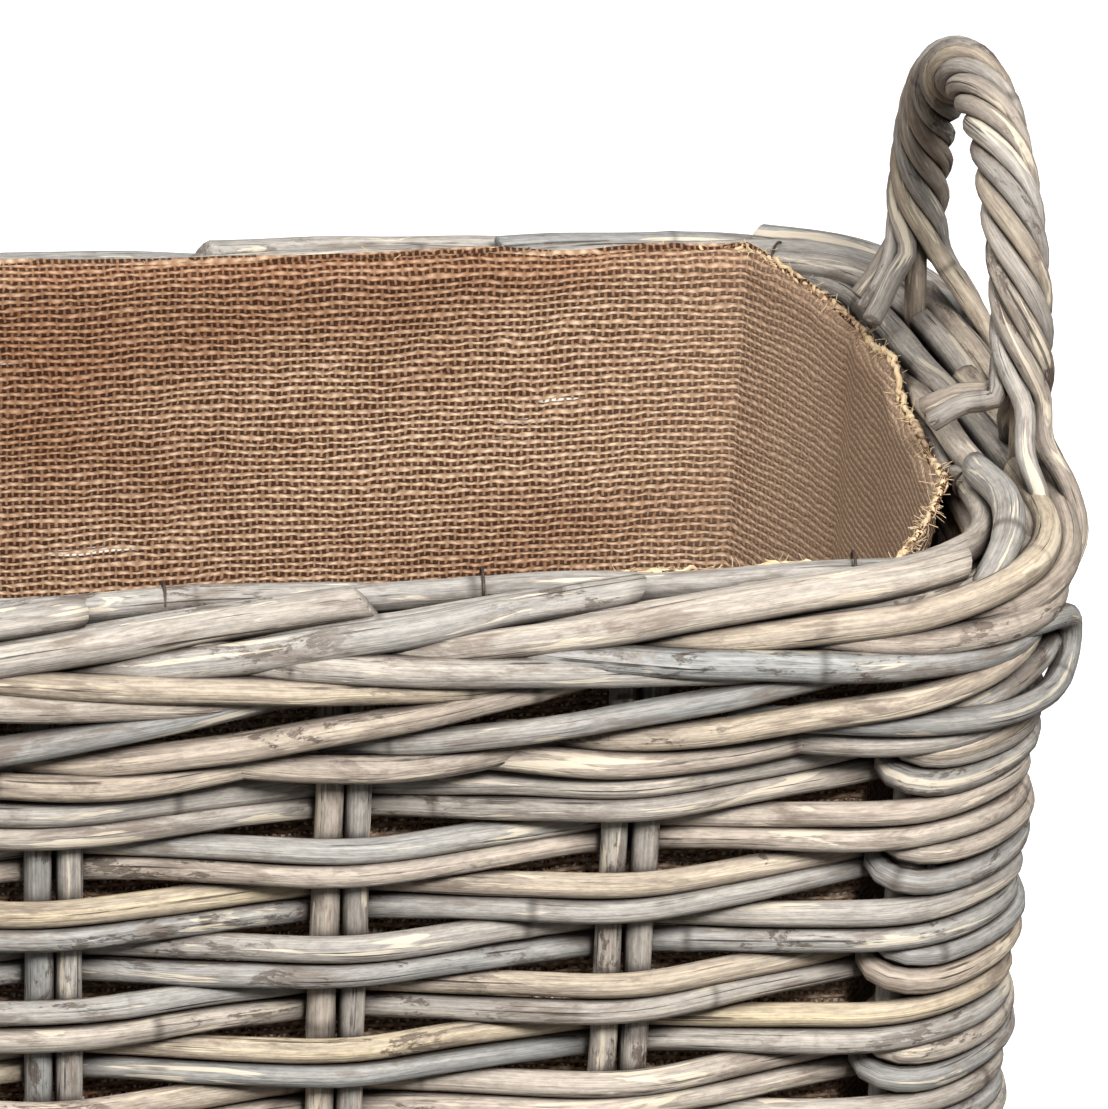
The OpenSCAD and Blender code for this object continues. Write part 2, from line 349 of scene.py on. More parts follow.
def srgb(red, green, blue):
    """Linear colour from the usual 0 to 255 values."""
    return tuple(((v / 255 + 0.055) / 1.055) ** 2.4 for v in (red, green, blue)) + (1.0,)


class Shader:
    """A short way to write a node material."""

    def __init__(self, name, roughness=0.6, specular=0.35):
        self.material = bpy.data.materials.new(name)
        self.material.use_nodes = True
        self.tree = self.material.node_tree
        self.surface = self.tree.nodes["Principled BSDF"]
        self.surface.inputs["Roughness"].default_value = roughness
        self.surface.inputs["Specular IOR Level"].default_value = specular

    def node(self, kind, inputs=(), **settings):
        node = self.tree.nodes.new(kind)
        for key, value in settings.items():
            setattr(node, key, value)
        for key, value in dict(inputs).items():
            self.put(node.inputs[key], value)
        return node

    def put(self, socket, value):
        if isinstance(value, bpy.types.NodeSocket):
            self.tree.links.new(value, socket)
        else:
            socket.default_value = value

    def attribute(self, name, output="Vector"):
        return self.node("ShaderNodeAttribute", attribute_name=name).outputs[output]

    def math(self, operation, *values):
        return self.node("ShaderNodeMath", dict(enumerate(values)), operation=operation).outputs[0]

    def times(self, first, second):
        return self.math("MULTIPLY", first, second)

    def times_plus(self, first, second, third):
        return self.math("MULTIPLY_ADD", first, second, third)

    def noise(self, vector, scale=1.0, detail=3.0, rough=0.55, warp=0.0):
        """scale is one number, or one for each axis."""
        if isinstance(scale, tuple):
            vector = self.node("ShaderNodeVectorMath", {0: vector, 1: scale},
                               operation="MULTIPLY").outputs[0]
            scale = 1.0
        return self.node("ShaderNodeTexNoise", {"Vector": vector, "Scale": scale, "Detail": detail,
                                                "Roughness": rough, "Distortion": warp}).outputs["Fac"]

    def step(self, value, low, high, start=0.0, end=1.0):
        return self.node("ShaderNodeMapRange", {"Value": value, "From Min": low, "From Max": high,
                                                "To Min": start, "To Max": end},
                         interpolation_type="SMOOTHSTEP").outputs["Result"]

    def mix(self, factor, first, second, blend="MIX"):
        node = self.node("ShaderNodeMix", data_type="RGBA", blend_type=blend)
        self.put(node.inputs["Factor"], factor)
        self.put(node.inputs["A"], first)
        self.put(node.inputs["B"], second)
        return node.outputs["Result"]

    def ramp(self, factor, stops):
        node = self.node("ShaderNodeValToRGB", {"Fac": factor})
        ramp = node.color_ramp
        ramp.elements[0].position, ramp.elements[0].color = stops[0]
        ramp.elements[1].position, ramp.elements[1].color = stops[-1]
        for position, colour in stops[1:-1]:
            ramp.elements.new(position).color = colour
        return node.outputs["Color"]

    def finish(self, colour, height, distance, strength=0.6, roughness=None):
        bump = self.node("ShaderNodeBump", {"Height": height, "Distance": distance,
                                            "Strength": strength})
        self.put(self.surface.inputs["Base Color"], colour)
        self.put(self.surface.inputs["Normal"], bump.outputs["Normal"])
        if roughness is not None:
            self.put(self.surface.inputs["Roughness"], roughness)
        return self.material


CANE_COLOURS = [(0.0, srgb(156, 155, 151)), (0.25, srgb(172, 165, 156)), (0.5, srgb(186, 174, 160)),
                (0.68, srgb(180, 165, 150)), (0.85, srgb(192, 176, 154)), (1.0, srgb(202, 184, 152))]
# Dark colour of the cracks and joints, and of the painted shade in the crevices.
CRACK_AND_SHADE = srgb(40, 30, 24)
STAIN = srgb(112, 98, 86)
SCAB = srgb(84, 70, 60)
PEELED = srgb(222, 208, 184)
CREVICE = 11 * MM


def cane_material(name, darker=0.0):
    """Weathered cane: streaks, cracks, stains, scabs, peeled bark, joints, and painted shade in the
    crevices.
    """
    shader = Shader(name)
    noise, step, times = shader.noise, shader.step, shader.times
    times_plus, mix = shader.times_plus, shader.mix
    grain = shader.attribute("grain")
    tint = shader.node("ShaderNodeSeparateXYZ", {0: shader.attribute("tint")}).outputs
    knot = shader.attribute("knot", "Fac")
    streak = noise(grain, (9, 380, 380), 5, 0.65)
    fibre = noise(grain, (38, 1500, 1500), 3, 0.7)
    speck = noise(grain, (240, 900, 900), 3, 0.7)
    patch = noise(grain, (30, 130, 130), 6, 0.7, 0.5)
    spread = times_plus(streak, 0.45, shader.math("SUBTRACT", tint[0], 0.22))
    colour = shader.ramp(spread, CANE_COLOURS)
    light = times_plus(tint[1], 0.09, 1.0 - darker)
    for mask, low, high, dark, bright in ((fibre, 0.3, 0.7, 0.74, 1.14),
                                          (streak, 0.3, 0.7, 0.84, 1.1),
                                          (speck, 0.35, 0.6, 0.80, 1.04)):
        light = times(light, step(mask, low, high, dark, bright))
    grey = shader.node("ShaderNodeCombineXYZ", {0: light, 1: light, 2: light}).outputs[0]
    colour = mix(1.0, colour, grey, "MULTIPLY")
    stained = times(step(patch, 0.5, 0.66), 0.75)
    colour = mix(stained, colour, STAIN)
    flake = noise(grain, (60, 170, 170), 7, 0.75, 0.4)
    where = noise(grain, (7, 12, 12), 2)
    scab = times(step(flake, 0.55, 0.60), step(where, 0.48, 0.6, 0.0, 0.8))
    colour = mix(scab, colour, SCAB)
    bare = noise(grain, (20, 210, 210), 4, warp=0.8)
    peeled = times(step(bare, 0.60, 0.63), 0.65)
    colour = mix(peeled, colour, PEELED)
    split = noise(grain, (13, 800, 800), 2)
    crack = times(step(split, 0.62, 0.69), step(noise(grain, (40, 90, 90)), 0.42, 0.55))
    colour = mix(times(crack, 0.8), colour, CRACK_AND_SHADE)
    ring = step(knot, 0.45, 0.98)
    colour = mix(times(ring, 0.55), colour, CRACK_AND_SHADE)
    # Painted shade: the colour goes dark where little open air is near, in the crevices between canes.
    open_air = shader.node("ShaderNodeAmbientOcclusion", {"Distance": CREVICE}, samples=6)
    crevice_shade = step(open_air.outputs["AO"], 0.14, 0.84, 1.0, 0.0)
    colour = mix(crevice_shade, colour, CRACK_AND_SHADE)
    height = times_plus(streak, 0.7, times(fibre, 0.5))
    for mask, depth in ((crack, -0.7), (peeled, -0.25), (scab, -0.3)):
        height = times_plus(mask, depth, height)
    return shader.finish(colour, height, 0.8 * MM, 0.8, step(patch, 0.3, 0.7, 0.55, 0.75))


# Painted shade seen through the holes of the weave.
HOLE_SHADE = srgb(60, 38, 24)
JUTE_DARK = srgb(116, 85, 62)
JUTE = srgb(170, 140, 113)
JUTE_BROWN = srgb(176, 132, 96)
JUTE_LIGHT = srgb(216, 192, 166)
DAYLIGHT = srgb(236, 226, 212)
WEFT_PITCH = 2.45 * MM
WARP_PITCH = 2.1 * MM


def hessian_material():
    """Open plain weave of uneven jute threads. The weave attribute holds metres along and up."""
    shader = Shader("hessian", 0.85, 0.15)
    noise, step, times = shader.noise, shader.step, shader.times
    times_plus, math, mix = shader.times_plus, shader.math, shader.mix
    weave = shader.attribute("weave")
    flat = shader.node("ShaderNodeSeparateXYZ", {0: weave}).outputs
    sway = times_plus(noise(weave, 30), 2.4, times(noise(weave, 210, 2), 0.55))
    dip = times_plus(noise(weave, (22, 34, 22)), 2.4, times(noise(weave, (190, 210, 190), 2), 0.7))
    across = times_plus(flat[0], 1 / WARP_PITCH, sway)
    upward = times_plus(flat[1], 1 / WEFT_PITCH, dip)
    over = times(math("COSINE", times(across, pi)), math("COSINE", times(upward, pi)))
    slub_h = noise(weave, (70, 520, 70))
    slub_v = noise(weave, (520, 70, 70))

    def thread(position, thickness, level, lift):
        middle = math("PINGPONG", position, 0.5)
        edge = math("POWER", math("DIVIDE", middle, thickness), 2)
        body = math("SQRT", math("MAXIMUM", math("SUBTRACT", 1.0, edge), 0.0))
        return times(body, times_plus(over, lift, level))

    weft = thread(upward, step(slub_h, 0.25, 0.75, 0.20, 0.40), 0.74, 0.22)
    warp = thread(across, step(slub_v, 0.25, 0.75, 0.17, 0.33), 0.37, -0.17)
    height = math("MAXIMUM", weft, warp)
    fuzz = noise(weave, (1300, 2400, 1300))
    dapple = noise(weave, (240, 330, 240), 2)
    # Painted highlight and shade: thread tops are painted lighter, and thread sides and the holes
    # between threads darker, with random tone from fuzz and dapple.
    lit = times_plus(fuzz, 0.45, math("SUBTRACT", height, 0.22))
    lit = times_plus(dapple, 0.5, math("SUBTRACT", lit, 0.25))
    colour = shader.ramp(lit, [(0.0, HOLE_SHADE), (0.2, JUTE_DARK), (0.58, JUTE), (1.0, JUTE_LIGHT)])
    patch = noise(weave, (6, 13, 6), 5)
    colour = mix(step(patch, 0.38, 0.68, 0.0, 0.65), colour, JUTE_BROWN, "MULTIPLY")
    # Painted daylight: pale spots in the holes at thin places in the cloth, and more on the front wall
    # where the backlit attribute is high.
    thin = noise(weave, (11, 90, 11), 2)
    painted_daylight = times(step(height, 0.34, 0.2), step(thin, 0.68, 0.71))
    speckle = noise(weave, (450, 450, 450), 1)
    backlit = times(shader.attribute("backlit", "Fac"), step(speckle, 0.42, 0.6, 0.0, 0.8))
    painted_daylight = math("MAXIMUM", painted_daylight, times(step(height, 0.3, 0.1), backlit))
    colour = mix(painted_daylight, colour, DAYLIGHT)
    felt = mix(fuzz, JUTE_DARK, JUTE_LIGHT)
    colour = mix(shader.attribute("felted", "Fac"), colour, felt)
    height = times_plus(fuzz, 0.3, height)
    return shader.finish(colour, height, 1.0 * MM, 0.85)


def fray_material():
    """Loose pale jute at the raw edge."""
    shader = Shader("frayed_jute", 0.8, 0.25)
    grain = shader.attribute("grain")
    fine = shader.noise(grain, (90, 2200, 2200), 2)
    colour = shader.ramp(fine, [(0.2, srgb(172, 142, 104)), (0.5, srgb(206, 180, 142)),
                                (0.8, srgb(228, 208, 174))])
    return shader.finish(colour, fine, 0.3 * MM)


def wire_material():
    """Dark wire with a little rust."""
    shader = Shader("tie_wire", 0.5, 0.5)
    grain = shader.attribute("grain")
    rust = shader.noise(grain, (300, 900, 900))
    colour = shader.ramp(rust, [(0.3, srgb(34, 28, 26)), (0.7, srgb(74, 54, 42))])
    return shader.finish(colour, rust, 0.1 * MM)


weave_cane = cane_material("weave_cane")
stake_cane = cane_material("stake_cane", 0.05)
border_cane = cane_material("border_cane", 0.1)
handle_cane = cane_material("handle_cane", 0.2)
hessian = hessian_material()
frayed = fray_material()
tie_wire = wire_material()

# ---- uprights ----

SIDE_NAMES = ["front", "right", "back", "left"]
SIDE_START = [0, FRONT_GAPS, HALF, HALF + FRONT_GAPS]
SIDE_GAPS = [FRONT_GAPS, END_GAPS, FRONT_GAPS, END_GAPS]
CORNER_NAMES = ["front_left", "front_right", "back_right", "back_left"]


def upright(canes, place, shift, radius, hue):
    """A standing cane, a little out of true, beside or on the line of its place."""
    lean = canes.random.uniform(-1, 1, 2) * 1.2 * MM
    rows = []
    for z in np.linspace(STAKE_FOOT, STAKE_TOP, 60):
        share = (z - STAKE_FOOT) / (STAKE_TOP - STAKE_FOOT)
        here = wall_at(place, 0, z)
        ahead = unit(wall_at(place + 0.01, 0, z) - here)
        rows.append(here + (shift + lean[0] * (1 - share) + lean[1] * share * 0.3) * ahead)
    canes.tube(np.array(rows), radius, hue=hue, wobble=0.25 * MM)


def make_uprights():
    """A pair of canes at each place along the sides, and one thick post at each corner."""
    for name, start, gaps in zip(SIDE_NAMES, SIDE_START, SIDE_GAPS):
        canes = Canes(name + "_stake_canes")
        for i in range(1, gaps):
            for side in (-1, 1):
                hue = 0.12 if canes.random.uniform() < 0.5 else 0.45
                upright(canes, start + i, side * (STAKE_R + 0.25 * MM), STAKE_R, hue)
        canes.piece(stake_cane, "stake_cane", name + "_stakes")
    for name, place in zip(CORNER_NAMES, SIDE_START):
        canes = Canes("corner_post_cane_" + name)
        upright(canes, place, 0, POST_R, 0.3)
        canes.piece(stake_cane, "stake_cane", "corner_post_" + name)


# ---- woven rows ----

BESIDE = 0.10
CORNER_NEAR = 0.35
CORNER_FAR = 0.66
HOOK_LIFT = 8 * MM
ROW_LIFT = 2 * MM
POST_LIFT = 3.5 * MM


def is_post(place):
    return place % HALF in (0, FRONT_GAPS)


def in_and_out(first, last, parity, z):
    """Rows of (place, off, z) past the uprights from first to last, outside those of one parity."""
    rows = []
    for i in range(first, last + 1):
        outside = i % 2 == parity
        reach = POST_REACH if is_post(i) else STAKE_REACH
        off = reach if outside else -reach
        steps = [(i - BESIDE, off, z), (i + BESIDE, off, z)]
        if is_post(i) and outside:
            turn = 1 if i % HALF == FRONT_GAPS else -1
            round_corner = [(i + turn * CORNER_NEAR, STAKE_REACH, z),
                            (i + turn * CORNER_FAR, 0.9 * STAKE_REACH, z)]
            steps = steps + round_corner if turn > 0 else round_corner[::-1] + steps
        rows += steps
    return rows


def hook_rows(post, way, z, reach, lift):
    """A cane's end that wraps round a post from the end side. way is +1 towards higher places."""
    r = POST_REACH + reach
    rows = [(post - way * share, STAKE_REACH, z) for share in (CORNER_FAR, CORNER_NEAR)]
    for t in np.linspace(0, pi, 9):
        rise = lift * (t / pi) ** 1.2
        rows.append((post + way * r * sin(t) / PITCH, r * cos(t), z + rise))
    rows.append((post - way * 0.12, -POST_REACH, z + lift))
    return rows


def lay_row(canes, rows):
    """A weaving cane, pushed a little higher near the posts."""
    rows = np.array(rows)
    from_post = np.abs((rows[:, 0] + 2) % HALF - HALF / 2) - HALF / 2 + 2
    rows[:, 2] += ROW_LIFT + POST_LIFT * np.exp(-(from_post / 0.7) ** 2)
    rows[:, 2] += 0.7 * MM * canes.drift(rows[:, 0] * PITCH, 0.5)
    canes.tube(wall_path(rows), CANE_R * canes.random.uniform(0.94, 1.03), shade=0.1)


def lay_between(canes, ends, parity, z, overlaps, dip):
    """A length of cane with both ends inside the wall, a little past its first and last upright."""
    (start, end), (before, beyond) = ends, overlaps
    rows = in_and_out(start, end, parity, z)
    rows[0] = (start - before, -STAKE_REACH, z)
    rows[-1] = (end + beyond, -STAKE_REACH - dip, z)
    lay_row(canes, rows)


def lay_odd(canes, z):
    """A cane right round the basket, pieced from three lengths, outside the even uprights."""
    cuts = sorted(canes.random.choice([3, 5, 9, 11, 13, 17, 19], 3, replace=False).tolist())
    for ends in zip(cuts, cuts[1:] + [cuts[0] + PLACES]):
        lay_between(canes, ends, 0, z, (0.25, 0.2), 3 * MM)


def lay_even(canes, z, reach):
    """Canes outside the odd uprights. Each long side has two, and each end one, hooked at the posts."""
    random = canes.random
    for post in (0, HALF):
        near = post + FRONT_GAPS
        far = post + HALF
        split = post + int(random.choice([2, 4]))
        for ends in ((post, split), (split, near)):
            lay_between(canes, ends, 1, z, (0.28, 0.25), 2.5 * MM)
        hook_reach = reach * random.uniform(0.6, 1.4)
        lift = HOOK_LIFT * random.uniform(0.8, 1.3)
        opening = hook_rows(near, -1, z, hook_reach, lift)[::-1]
        closing = hook_rows(far, 1, z, hook_reach, lift)
        lay_row(canes, opening + in_and_out(near + 1, far - 1, 1, z) + closing)


def weave_row(n):
    """Two canes, one on the other. Odd and even rows pass the uprights on opposite sides."""
    canes = Canes(f"weave_row_{n:02d}_canes")
    for k, reach in ((0, 1.6 * MM), (1, -0.4 * MM)):
        z = WEAVE_FOOT + (2 * (n - 1) + k + 0.5) * ROW_STEP
        if n % 2 == 0:
            lay_even(canes, z, reach)
        else:
            lay_odd(canes, z)
    canes.piece(weave_cane, "weave_cane", f"weave_row_{n:02d}")


# ---- waling ----

def make_bottom_wale():
    """Two rounds of strokes, each outside two uprights and then in, a little higher."""
    canes = Canes("bottom_wale_canes")
    low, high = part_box("bottom_wale")
    rounds = 2
    level = (high.z - low.z) / (2 * rounds)
    rise = 0.5 * level
    span = 2.8
    for turn in range(rounds):
        z = low.z + (2 * turn + 0.35) * level
        for start in range(PLACES):
            reach = POST_REACH if is_post(start + 1) or is_post(start + 2) else STAKE_REACH
            rows = [(start - 0.15, -7 * MM, z - 0.1 * rise), (start + 0.15, -2 * MM, z)]
            for u, more in zip(np.linspace(0.55, span - 0.45, 4), (0, 1 * MM, 1 * MM, 0)):
                rows.append((start + u, reach + more, z + rise * u))
            rows.append((start + span, -3 * MM, z + rise * span))
            rows.append((start + span + 0.25, -8 * MM, z + rise * span))
            radius = CANE_R * canes.random.uniform(0.95, 1.03)
            canes.tube(wall_path(rows, 11 * MM), radius, shade=0.15)
    canes.piece(weave_cane, "weave_cane", "bottom_wale")


def in_corner(place):
    """1 half way round a corner's curve, and 0 away from it."""
    total = 0
    for middle in (6.6, 9.4):
        away = np.abs((place - middle + HALF / 2) % HALF - HALF / 2)
        total = total + np.exp(-(away / 0.3) ** 2)
    return total


def make_top_wale():
    """Crossing sets of low, rising and falling canes, a loop at two corners, and a hook at each post.
    Each list holds place, off and z, from the stroke's start, the wall line and the weave's top."""
    canes = Canes("top_wale_canes")
    random = canes.random
    base = WEAVE_TOP
    low = [(-0.75, -6, 5), (-0.45, 4, 5.5), (-0.12, 10, 3.5), (0.15, 10.5, 3), (0.5, 8, 4.5),
           (0.9, -2, 8), (1.15, -8, 9)]
    rising = [(-0.35, -6, 8), (-0.1, 3, 9.5), (0.12, 9.5, 11), (0.45, 13, 14), (1.0, 14.5, 19.5),
              (1.4, 12.5, 24.5), (1.75, 7, 28.5), (2.0, 0, 30.5), (2.2, -6, 31)]
    falling = [(0.25, 4, 43), (0.55, 12.5, 41), (1.1, 17, 36.5), (1.7, 17, 32.5), (2.3, 14, 29.5),
               (2.75, 6, 28), (3.0, -3, 27.5)]
    for start in range(PLACES):
        near_corner = any(is_post(start + ahead) for ahead in (0, 1, 2))
        for rows, radius, chance in ((low, 4.0, 0.7), (rising, 4.2, 1.0), (falling, 4.4, 1.0)):
            if random.uniform() > chance and not near_corner:
                continue
            shift = random.uniform(-0.12, 0.12)
            bulge = random.uniform(0, 3.5 if near_corner else 1.5)
            lift = random.uniform(-1.2, 1.2)
            tilt = random.uniform(-1.5, 1.5)
            path = []
            for u, off, z in rows:
                place = start + u + shift
                off = (off + bulge * (off > 5)) * (1 - 0.5 * in_corner(place))
                path.append((place, off * MM, base + (z + lift + tilt * (u - 1)) * MM))
            canes.tube(wall_path(path, 11 * MM), radius * MM * random.uniform(0.94, 1.07), shade=0.1,
                       cut=(0.3, 0.3))
    loop = [(-0.7, 8, 13.5), (-0.2, 13, 12), (0.25, 15, 8), (0.48, 16, 6), (0.62, 17, 10),
            (0.66, 17.5, 17), (0.62, 17, 25), (0.46, 15, 30), (0.2, 12, 33), (-0.05, 6, 34),
            (-0.2, -2, 34)]
    for post in (FRONT_GAPS, HALF + FRONT_GAPS):
        path = [(post + u, off * MM, base + z * MM) for u, off, z in loop]
        canes.tube(wall_path(path, 5 * MM), 3.9 * MM, shade=0.1)
    for post, way in ((FRONT_GAPS, -1), (HALF, 1), (HALF + FRONT_GAPS, -1), (PLACES, 1)):
        z = base - 1 * MM
        tail = [(post - way * 1.3, -7 * MM, z), (post - way * 0.95, STAKE_REACH, z)]
        canes.tube(wall_path(tail + hook_rows(post, way, z, 0.5 * MM, HOOK_LIFT)), CANE_R, shade=0.1)
    canes.piece(weave_cane, "weave_cane", "top_wale")


# ---- border ----

BACK_SAG = 4.5 * MM
ROD_R = 5.0 * MM
THIN_ROD_R = 4.2 * MM
HOOP_R = 4 * MM
def sag(places):
    """How far the back of the border has sunk below the front."""
    return BACK_SAG * along_side(places, HALF + 3, 3.7)


def border_rods(index):
    """The thick rods of one side, each with a thinner one that goes on along the inner edge.
    Each list holds place, off and z, from the rod's start, the wall line and the rim."""
    canes = Canes(SIDE_NAMES[index] + "_border_canes")
    random = canes.random
    thick = [(-0.3, 3, -21), (0.05, 10, -18), (0.4, 15, -14.5), (0.8, 16, -11), (1.2, 13.5, -7.5),
             (1.6, 8.5, -4.5), (2.02, 3.5, -2.8)]
    thin = [(0.45, 7, -13), (0.9, 9, -10), (1.3, 6.5, -7), (1.7, 1, -4.5), (2.1, -4.5, -4),
            (2.6, -8.5, -4.5), (3.0, -9.8, -6), (3.3, -10, -10)]

    def lay(start, rows, lift, soft, radius, **looks):
        path = [(start + u, off * MM, RIM_Z + (z + lift) * MM - sag(start + u)) for u, off, z in rows]
        canes.tube(wall_path(path, soft), radius, **looks)

    for i in range(SIDE_GAPS[index]):
        start = SIDE_START[index] + i
        lift = random.uniform(-1.0, 1.2)
        end = random.uniform(-0.08, 0.12)
        rows = [(u + end * (u > 1.5), off, z) for u, off, z in thick]
        lay(start, rows, lift, 13 * MM, ROD_R * random.uniform(0.94, 1.08), shade=0.25,
            cut=(0, random.uniform(0.3, 0.9)), thin=(0.98, 1.0))
        lay(start, thin, lift, 14 * MM, THIN_ROD_R * random.uniform(0.94, 1.06), hue=0.2)
    if index % 2 == 1:
        turned = [(0.12, 9, -9), (0.3, 4, -2), (0.5, -2, 2.5), (0.75, -7, 4), (0.98, -9.5, 3)]
        lay(SIDE_START[index], turned, 0, 7 * MM, 4.6 * MM, cut=(0, 0.6))
    canes.piece(border_cane, "border_cane", SIDE_NAMES[index] + "_border_rods")


def make_core_hoops():
    """The two canes of the inner edge, each pieced from lengths that overlap."""
    canes = Canes("border_core_canes")
    low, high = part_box("border_core_hoops")
    for z, off, starts in ((high.z - HOOP_R, -10.6 * MM, (0.2, 4.6, 8.1, 12.3, 16.4)),
                           (low.z + HOOP_R, -10.9 * MM, (2.2, 7.1, 11.7, 15.3))):
        for start, end in zip(starts, starts[1:] + (starts[0] + PLACES,)):
            places = np.arange(start - 0.3, end + 0.31, 0.3)
            rows = [(u, off, z) for u in places]
            rows[-1] = (end + 0.3, off - 1.2 * MM, z + 1 * MM)
            canes.tube(wall_path(rows), HOOP_R * canes.random.uniform(0.93, 1.04), hue=0.5,
                       shade=0.1, cut=(0.4, 0.6))
    canes.piece(border_cane, "border_cane", "border_core_hoops")


TIE_PLACES = [0.9, 3.39, 4.47, 5.74, 7.05, 9.95]
TIE_DROP = 4.6 * MM
TIE_REACH = 6.2 * MM
TIE_RISE = 5.5 * MM
WIRE_R = 0.45 * MM


def make_ties():
    """Loops of dark wire round the inner edge."""
    canes = Canes("rim_wire_tie_loops")
    for turn in (0, HALF):
        for place in TIE_PLACES:
            level = RIM_Z - TIE_DROP - sag(place + turn)
            middle = wall_at(place + turn, -8.6 * MM, level)
            outward = unit(wall_at(place + turn, 0, level) - middle)
            angle = np.linspace(0, 2 * pi, 28)
            slip = 1.0 * MM * np.linspace(-1, 1, 28)
            ahead = np.cross([0, 0, 1], outward)
            loop = (middle + np.outer(TIE_REACH * np.cos(angle), outward)
                    + np.outer(TIE_RISE * np.sin(angle), [0, 0, 1]) + np.outer(slip, ahead))
            canes.tube(loop, WIRE_R, sides=8, jointed=False, wobble=0)
    canes.piece(tie_wire, "tie_wire", "rim_wire_ties")


# ---- handles ----

STRANDS = 6
core_low, core_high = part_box("right_handle_core")
HANDLE_X = (core_low.x + core_high.x) / 2
CORE_R = (core_high.x - core_low.x) / 2
LEG_Y = core_high.y - CORE_R
ARCH_Z = core_high.z - CORE_R - LEG_Y
STRAND_R = 3.0 * MM
STRAND_REACH = CORE_R + STRAND_R + 0.2 * MM
TWIST_LEAD = 67 * MM
SKIRT_Z = 478 * MM
HANDLE_SHIFT = 4.3 * MM
HANDLE_YAW = 0.065
HANDLE_LIFT = 3 * MM


def arch(w, foot_z):
    """The handle's middle line at w from its front foot, the unit vectors out of it, and its length."""
    leg = ARCH_Z - foot_z
    length = 2 * leg + pi * LEG_Y
    t = pi - (np.clip(w, leg, length - leg) - leg) / LEG_Y
    y = LEG_Y * np.cos(t)
    z = ARCH_Z + LEG_Y * np.sin(t) - np.maximum(leg - w, 0) - np.maximum(w - length + leg, 0)
    zero = np.zeros_like(w)
    return np.stack([zero + HANDLE_X, y, z], -1), np.stack([zero, np.cos(t), np.sin(t)], -1), length


def leaned(path):
    """The handle stands a little proud and askew."""
    path = path.copy()
    path[:, 0] += HANDLE_SHIFT - HANDLE_YAW * path[:, 1]
    path[:, 2] += HANDLE_LIFT * np.clip((path[:, 2] - SKIRT_Z) / (ARCH_Z + LEG_Y - SKIRT_Z), 0, 1)
    return path


def foot_rows(spoke, leg_y):
    """How a strand leaves the twist: over the border if it is outside, and on to it if not."""
    out, along = spoke[0], spoke[1]
    if out > 0.2:
        spots = [(13, 11, -2, 8), (20, 17, -7, -3), (23, 22, -13, -16), (14, 26, -20, -30)]
    elif out < -0.3 and leg_y > 0:
        spots = [(-9, 8, -2, 14), (-13, 10, -6, 8), (-17, 12, -9, 4)]
    elif out < -0.3:
        spots = [(-9, 8, 2, 19), (-13, 10, 4, 15), (-18, 12, 6, 12)]
    else:
        spots = [(6, 17, -2, 7), (10, 26, -4, -3), (6, 34, -6, -16)]
    return [(HANDLE_X + x * MM, leg_y + (y * along + front) * MM, RIM_Z + z * MM)
            for x, y, front, z in spots]


def handle_strand(k, half_turn):
    """The path of one of the twisted strands, from its front foot over the arch to its back foot."""
    w = np.arange(0, arch(np.zeros(1), SKIRT_Z)[2], 2.5 * MM)
    middle, out, length = arch(w, SKIRT_Z)
    turn = 2 * pi * (k / STRANDS - w / TWIST_LEAD)
    spokes = np.sin(turn)[:, None] * np.array([1.0, 0, 0]) + np.cos(turn)[:, None] * out
    front = foot_rows(spokes[0], -LEG_Y)[::-1]
    back = foot_rows(spokes[-1], LEG_Y)
    path = np.concatenate([front, leaned(middle + STRAND_REACH * spokes), back])
    return blurred(path * np.array([half_turn, half_turn, 1.0]), 4 * MM, 4 * MM)


def make_handles():
    """Two straight-legged arches. The left one is the right one turned half a turn."""
    for name, half_turn in (("left", -1.0), ("right", 1.0)):
        core = Canes(name + "_handle_core_cane")
        foot_z = core_low.z
        w = np.linspace(0, arch(np.zeros(1), foot_z)[2], 90)
        path = leaned(arch(w, foot_z)[0])
        core.tube(path * np.array([half_turn, half_turn, 1.0]), CORE_R, wobble=0)
        core.piece(handle_cane, "handle_cane", name + "_handle_core")
        for k in range(1, STRANDS + 1):
            strand = Canes(f"{name}_handle_strand_{k}_cane")
            shade = 0.3 - 0.5 * (k % 3)
            strand.tube(handle_strand(k, half_turn), STRAND_R, shade=shade, hue=0.5, wobble=0.3 * MM)
            strand.piece(handle_cane, "handle_cane", f"{name}_handle_strand_{k}")


# ---- base ----

STICKS = 5
SMALL_R = 3.9 * MM
stick_low, stick_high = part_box("base_sticks")
STICK_R = (stick_high.z - stick_low.z) / 2
STICK_Z = (stick_high.z + stick_low.z) / 2
STICK_LINES = np.linspace(stick_low.y + STICK_R, stick_high.y - STICK_R, STICKS)


def make_base_sticks():
    """Straight canes along the base."""
    canes = Canes("base_stick_canes")
    for y in STICK_LINES:
        ends = np.array([[stick_low.x, y, STICK_Z], [stick_high.x, y, STICK_Z]])
        canes.tube(resample(ends, 8 * MM), 0.98 * STICK_R, hue=0.6, shade=-0.6, wobble=0.5 * MM)
    canes.piece(stake_cane, "stake_cane", "base_sticks")


